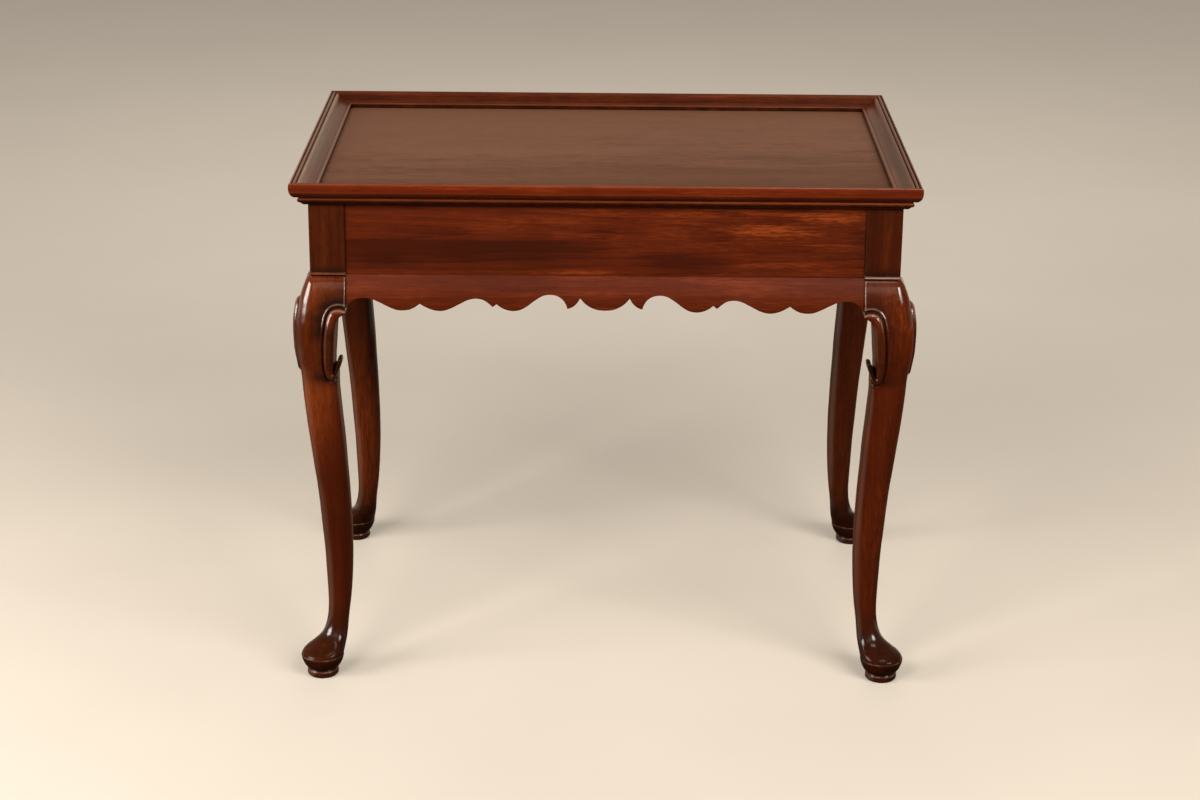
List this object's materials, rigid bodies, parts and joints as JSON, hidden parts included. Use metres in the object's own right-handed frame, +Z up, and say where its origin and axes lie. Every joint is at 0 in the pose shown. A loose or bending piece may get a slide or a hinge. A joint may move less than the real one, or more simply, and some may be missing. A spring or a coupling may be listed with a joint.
{
  "type": "tray top tea table",
  "caption": "Rectangular wooden tea table with a recessed tray top, moulded rim, plain frieze, scalloped skirt and cabriole legs with carved C-scrolls on pad feet.",
  "frame": {"origin": "middle of the table's footprint, on the surface it stands on", "axes": "+X along the table's width to the viewer's right, +Y from the front to the back, +Z up"},
  "size_m": [0.7864, 0.5192, 0.667],
  "materials": {
    "finished_wood": "reddish brown stained hardwood under satin lacquer",
    "inner_wood": "plain unfinished hardwood",
    "screw_steel": "plain steel",
    "felt": "dark pressed felt"
  },
  "bodies": {
    "root": {"top_panel": "finished_wood", "tray_rim_front": "finished_wood", "edge_bead_front": "finished_wood", "rail_front": "finished_wood", "skirt_front": "finished_wood", "tray_rim_back": "finished_wood", "edge_bead_back": "finished_wood", "rail_back": "finished_wood", "skirt_back": "finished_wood", "tray_rim_left": "finished_wood", "edge_bead_left": "finished_wood", "rail_left": "finished_wood", "skirt_left": "finished_wood", "tray_rim_right": "finished_wood", "edge_bead_right": "finished_wood", "rail_right": "finished_wood", "skirt_right": "finished_wood", "leg_front_left": "finished_wood", "corner_block_front_left": "inner_wood", "foot_felt_front_left": "felt", "leg_front_right": "finished_wood", "corner_block_front_right": "inner_wood", "foot_felt_front_right": "felt", "leg_back_left": "finished_wood", "corner_block_back_left": "inner_wood", "foot_felt_back_left": "felt", "leg_back_right": "finished_wood", "corner_block_back_right": "inner_wood", "foot_felt_back_right": "felt", "mitre_keys": "inner_wood", "skirt_dowels": "inner_wood", "skirt_end_dowels": "inner_wood", "top_buttons": "inner_wood", "button_screws": "screw_steel", "corner_block_screws": "screw_steel"}
  },
  "joints": []
}
